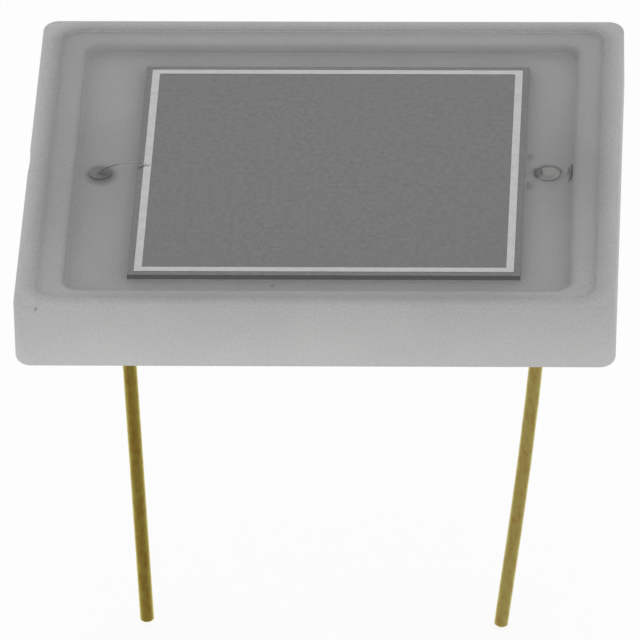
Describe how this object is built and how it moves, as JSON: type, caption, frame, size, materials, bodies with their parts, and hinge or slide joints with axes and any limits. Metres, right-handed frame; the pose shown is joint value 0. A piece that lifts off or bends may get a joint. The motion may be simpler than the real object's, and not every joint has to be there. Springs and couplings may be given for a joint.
{
  "type": "photodiode",
  "caption": "Flat ceramic package with a square silicon light sensor under clear resin in a stepped cavity, and round gold-plated leads below, for measuring light.",
  "frame": {"origin": "centre of the ceramic body's underside, where the package seats on a board", "axes": "+Z out of the light-sensitive face, +X from the anode lead to the cathode lead, +Y across the row of leads"},
  "size_m": [0.0164, 0.015, 0.0157],
  "materials": {
    "ceramic": "unglazed fired alumina",
    "silicon": "polished, with an antireflection film",
    "contact_metal": "satin",
    "adhesive": "silver-filled adhesive",
    "gold_plating": "gold plating, satin",
    "braze": "dull silver-copper braze",
    "bond_wire": "drawn wire",
    "resin": "clear cast resin"
  },
  "bodies": {
    "root": {"ceramic_package": "ceramic", "silicon_chip": "silicon", "contact_frame": "contact_metal", "die_attach": "adhesive", "cathode_dab": "adhesive", "anode_lead": "gold_plating", "cathode_lead": "gold_plating", "anode_seal": "braze", "cathode_seal": "braze", "bond_wire": "bond_wire", "resin_fill": "resin"}
  },
  "joints": []
}
